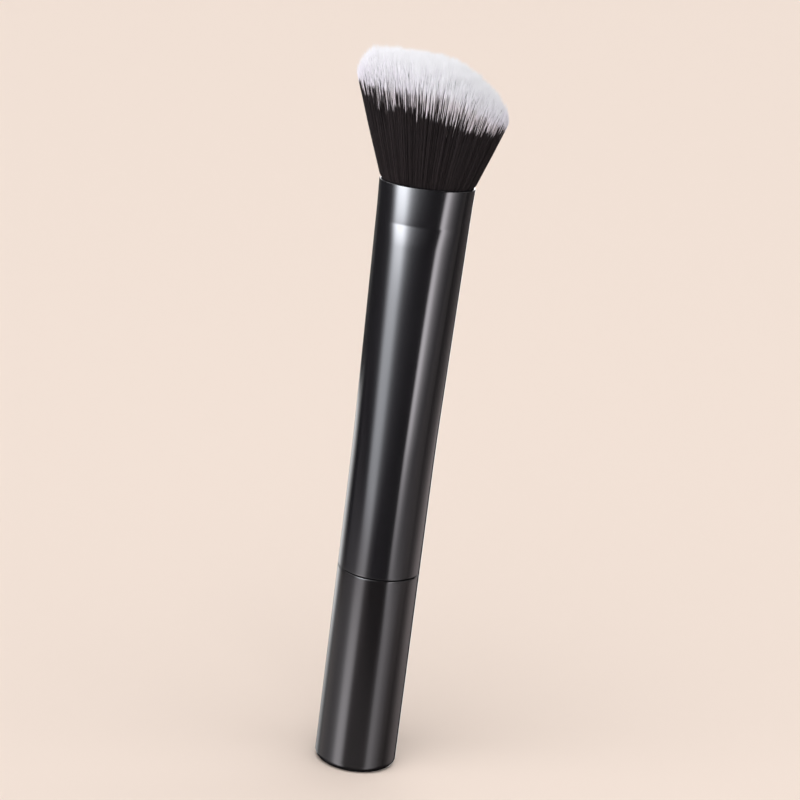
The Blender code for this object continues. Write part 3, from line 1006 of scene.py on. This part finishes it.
        soft_light(
            "tuft_glow", peak=4.8, color=GLOW_COLOR,
            turns=[(-100, 0.5), (-75, 1.0), (-50, 1.0), (-25, 0.5), (0, 0.3)],
            heights=[(0.18, 0.0), (0.26, 0.8), (0.45, 1.0), (0.60, 0.6)],
            away="away_from_glow")
        soft_light(
            "right_glow", peak=2.4, color=GLOW_COLOR,
            turns=[(25, 0.2), (45, 0.8), (70, 1.0), (95, 0.8), (115, 0.3)],
            heights=[(0.17, 0.0), (0.21, 0.9), (0.30, 1.0), (0.38, 0.3)],
            away="away_from_glow")
        soft_light(
            "left_glow", peak=1.9, color=GLOW_COLOR,
            turns=[(-165, 0.3), (-145, 0.8), (-120, 1.0), (-95, 0.8), (-75, 0.3)],
            heights=[(0.17, 0.0), (0.21, 0.9), (0.30, 1.0), (0.38, 0.3)],
            away="away_from_glow")
        soft_light(
            "back_glow", peak=3.2, color=GLOW_COLOR,
            turns=[(125, 0.3), (150, 0.8), (180, 1.0), (210, 0.8), (235, 0.3)],
            heights=[(0.17, 0.0), (0.23, 0.9), (0.36, 1.0), (0.46, 0.5)],
            away="away_from_glow")
        far_light("key", azimuth=-25, elevation=50, strength=1.7, spread=60)
        far_light("top_fill", azimuth=0, elevation=85, strength=0.72, spread=60)
        far_light("side_fill", azimuth=60, elevation=42, strength=0.9, spread=70)
        far_light("back_fill", azimuth=165, elevation=45, strength=0.8, spread=70)

    def make_world(self, stage):
        """Faint even light from all round."""
        world = bpy.data.worlds.new("even_light")
        world.use_nodes = True
        background = world.node_tree.nodes["Background"]
        background.inputs["Strength"].default_value = stage.world_level
        bpy.context.scene.world = world

    def make_camera(self, stage):
        """Camera in front of the brush, raised and rolled."""
        lens = bpy.data.cameras.new("camera")
        lens.sensor_width = SENSOR_WIDTH
        lens.lens = stage.focal_length
        lens.clip_start, lens.clip_end = 0.01, 20
        camera = bpy.data.objects.new("camera", lens)
        bpy.context.scene.collection.objects.link(camera)
        rise = stage.elevation
        camera.location = (
            0, -stage.distance * math.cos(rise), stage.aim_height + stage.distance * math.sin(rise))
        camera.rotation_mode = "XYZ"
        camera.rotation_euler = (math.pi / 2 - rise, 0, 0)
        camera.rotation_euler.rotate_axis("Z", stage.roll)
        bpy.context.scene.camera = camera


class BRUSH_PT_panel(bpy.types.Panel):
    """Buttons that build the brush piece by piece"""

    bl_idname = "BRUSH_PT_panel"
    bl_label = "Blush Brush"
    bl_space_type = "VIEW_3D"
    bl_region_type = "UI"
    bl_category = "Brush"

    def draw(self, context):
        """One button for each operator."""
        for operator in OPERATORS:
            self.layout.operator(operator.bl_idname)


GROUPS = (HandleSettings, TuftSettings, StageSettings)
OPERATORS = (
    BRUSH_OT_ferrule_tube, BRUSH_OT_base_shell, BRUSH_OT_inner_pieces,
    BRUSH_OT_tuft_root, BRUSH_OT_filaments, BRUSH_OT_stage,
)


def register():
    """Add the settings, the operators and the panel."""
    for cls in GROUPS + OPERATORS + (BRUSH_PT_panel,):
        bpy.utils.register_class(cls)
    bpy.types.Scene.brush_handle = bpy.props.PointerProperty(type=HandleSettings)
    bpy.types.Scene.brush_tuft = bpy.props.PointerProperty(type=TuftSettings)
    bpy.types.Scene.brush_stage = bpy.props.PointerProperty(type=StageSettings)


def unregister():
    """Take them out again."""
    del bpy.types.Scene.brush_stage
    del bpy.types.Scene.brush_tuft
    del bpy.types.Scene.brush_handle
    for cls in reversed(GROUPS + OPERATORS + (BRUSH_PT_panel,)):
        bpy.utils.unregister_class(cls)


def main():
    """Build the brush and its stage."""
    register()
    bpy.ops.brush.ferrule_tube()
    bpy.ops.brush.base_shell()
    bpy.ops.brush.inner_pieces()
    bpy.ops.brush.tuft_root()
    bpy.ops.brush.filaments()
    bpy.ops.brush.stage()


if __name__ == "__main__":
    main()
